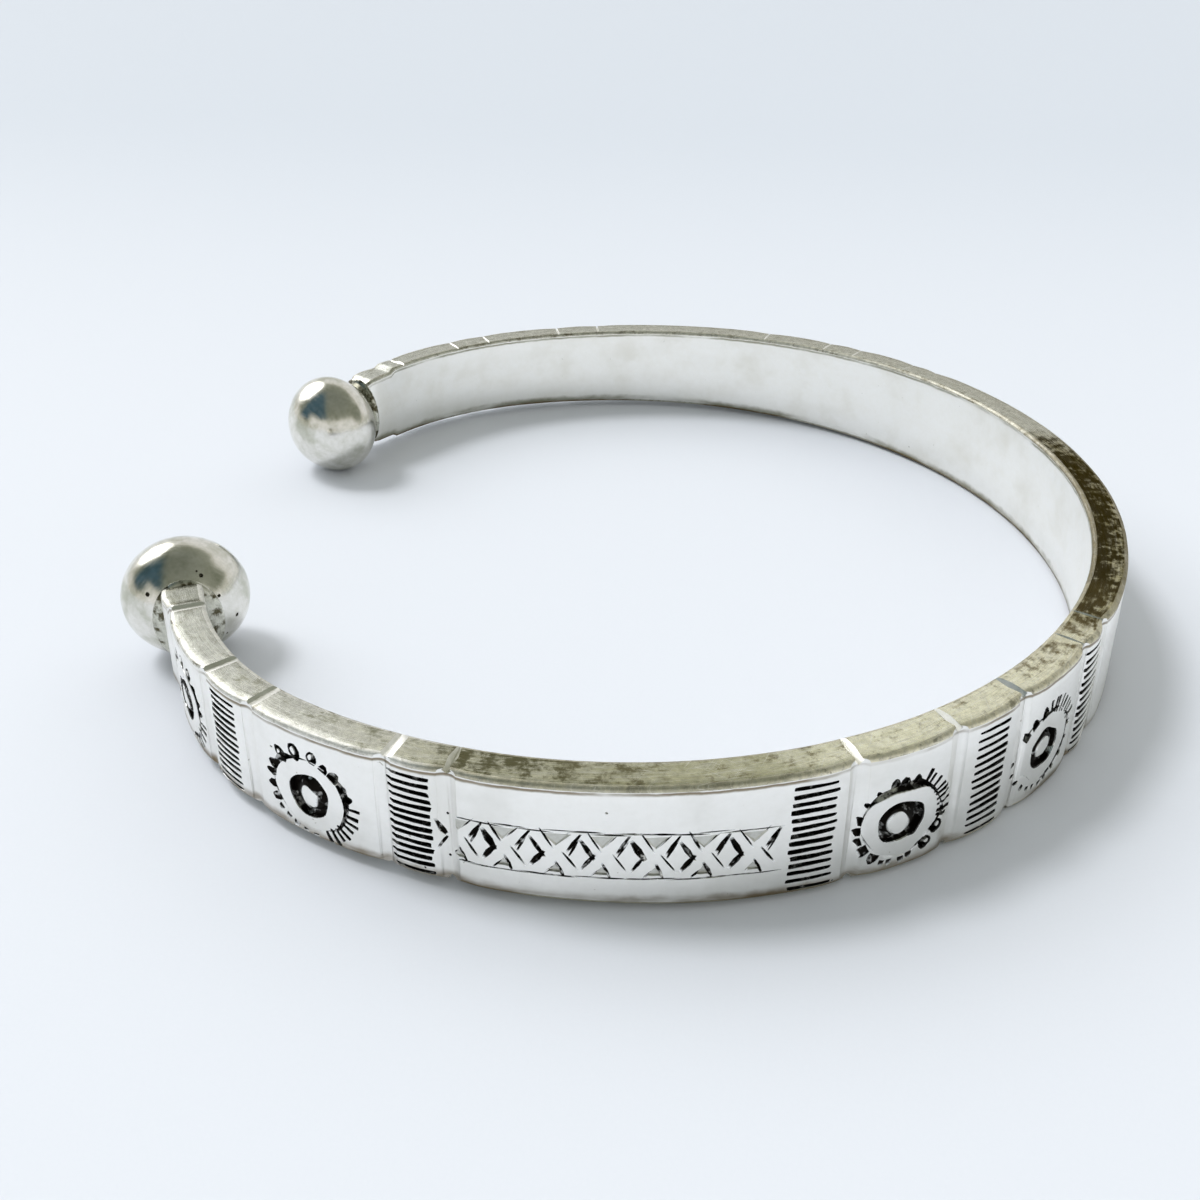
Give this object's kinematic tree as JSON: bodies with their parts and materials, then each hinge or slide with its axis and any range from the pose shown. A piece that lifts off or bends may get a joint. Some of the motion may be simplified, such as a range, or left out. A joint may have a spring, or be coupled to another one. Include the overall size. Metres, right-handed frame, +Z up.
{
  "type": "open cuff bangle with ball knob ends",
  "caption": "Open cuff bangle of flat silver bar, oval in plan, with filed panels along its outer face and a soldered ball knob on each end; it lies flat on a surface.",
  "frame": {"origin": "on the surface that the bangle lies on, under the middle of its box", "axes": "+X from the gap towards the middle of the back, +Y towards the rear half, +Z up out of the wrist opening"},
  "size_m": [0.0627, 0.066, 0.0078],
  "materials": {
    "silver": "hand-finished 925 silver: satin outer and inner faces, filed edges with olive tarnish, black in the engraving"
  },
  "bodies": {
    "root": {"cuff_bangle": "silver"}
  },
  "joints": []
}
